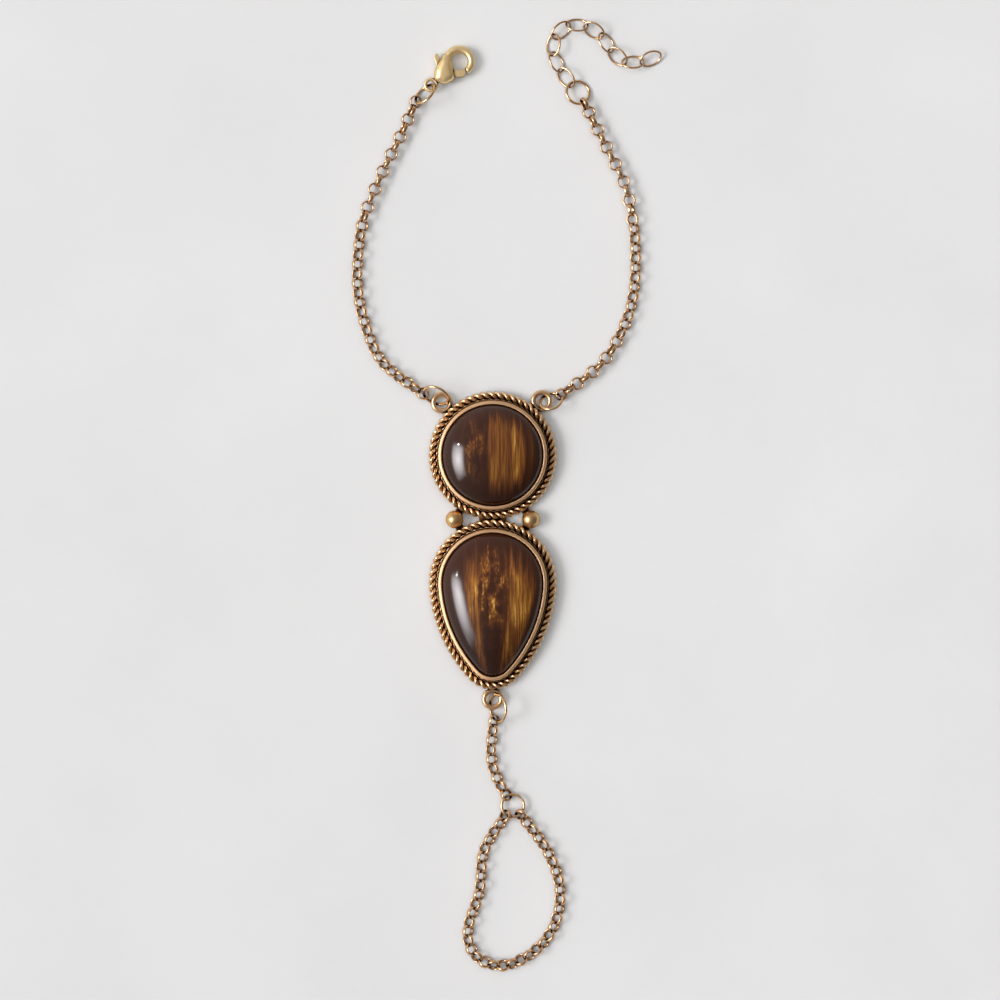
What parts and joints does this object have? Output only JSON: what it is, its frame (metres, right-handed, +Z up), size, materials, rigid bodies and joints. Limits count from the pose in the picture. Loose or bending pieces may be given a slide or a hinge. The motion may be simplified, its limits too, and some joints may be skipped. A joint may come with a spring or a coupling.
{
  "type": "hand chain bracelet",
  "caption": "Hand chain bracelet with round and pear cabochons in a rope-edged setting, wrist chains with lobster clasp and extender, and a finger loop on a drop chain.",
  "frame": {"origin": "centre of the round setting's flat back, which rests on the surface", "axes": "+X to the extender's side, +Y from the finger loop to the clasp, +Z up out of the stones"},
  "size_m": [0.0542, 0.1666, 0.0064],
  "materials": {
    "antique_gold": "antiqued polish",
    "clasp_metal": "soft polish",
    "stone": "polished"
  },
  "bodies": {
    "bracelet": {"setting": "antique_gold", "round_stone": "stone", "pear_stone": "stone", "left_ring": "antique_gold", "right_ring": "antique_gold", "drop_ring": "antique_gold", "finger_ring": "antique_gold", "clasp_ring": "antique_gold", "extender_ring": "antique_gold", "left_chain": "antique_gold", "right_chain": "antique_gold", "drop_chain": "antique_gold", "finger_chain": "antique_gold", "extender_chain": "antique_gold", "clasp_body": "clasp_metal", "clasp_pin": "clasp_metal"},
    "lever": {"clasp_lever": "clasp_metal"}
  },
  "joints": [
    {"name": "lever_pivot", "type": "hinge", "parent": "bracelet", "child": "lever", "pos_m": [-0.0087, 0.06704, 0.00135], "axis": [0, 0, 1], "range_deg": [0, 26], "stiffness_Nm_per_rad": 0.002, "springref_deg": -11.46}
  ]
}
